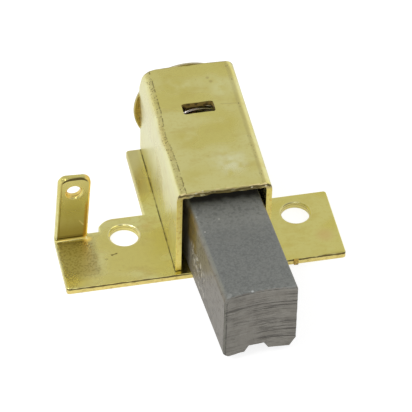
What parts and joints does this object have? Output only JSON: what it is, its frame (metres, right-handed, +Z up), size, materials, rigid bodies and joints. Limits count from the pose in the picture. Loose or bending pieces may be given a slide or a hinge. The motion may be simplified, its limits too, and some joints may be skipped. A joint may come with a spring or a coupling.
{
  "type": "carbon brush with brush holder",
  "caption": "Carbon brush in a sheet-brass brush box on a two-hole base plate with an upright solder tab; a coil spring and a shunt sit behind the brush.",
  "frame": {"origin": "midway between the two mounting holes, on the underside of the base plate", "axes": "+Z up through the plate, along the mounting holes; the brush box lies along Y with its mouth and the brush towards -Y; the two holes lie along X, with the solder tab at -X"},
  "size_m": [0.0386, 0.0428, 0.0156],
  "materials": {
    "plate_brass": "bright stamped brass with pale, faintly cloudy patches",
    "box_brass": "satin brass, with fine pits along the bends",
    "cap_brass": "pressed brass, slightly darker",
    "carbon": "matt electrographite, ground front face",
    "tamped_copper": "dull tamped copper powder",
    "spring_steel": "drawn spring wire",
    "braided_copper": "fine copper braid",
    "solder": "dull solder"
  },
  "bodies": {
    "holder": {"base_plate": "plate_brass", "brush_box": "box_brass", "rear_cap": "cap_brass", "solder_joint": "solder", "compression_spring": "spring_steel", "shunt": "braided_copper"},
    "brush": {"carbon_brush": "carbon", "tamping_plug": "tamped_copper"}
  },
  "joints": [
    {"name": "brush_slide", "type": "slide", "parent": "holder", "child": "brush", "axis": [-0.0607, 0.9982, 0], "range_m": [0, 0.008], "stiffness_N_per_m": 250, "springref_m": -0.004, "deforming": ["compression_spring", "shunt"]}
  ]
}
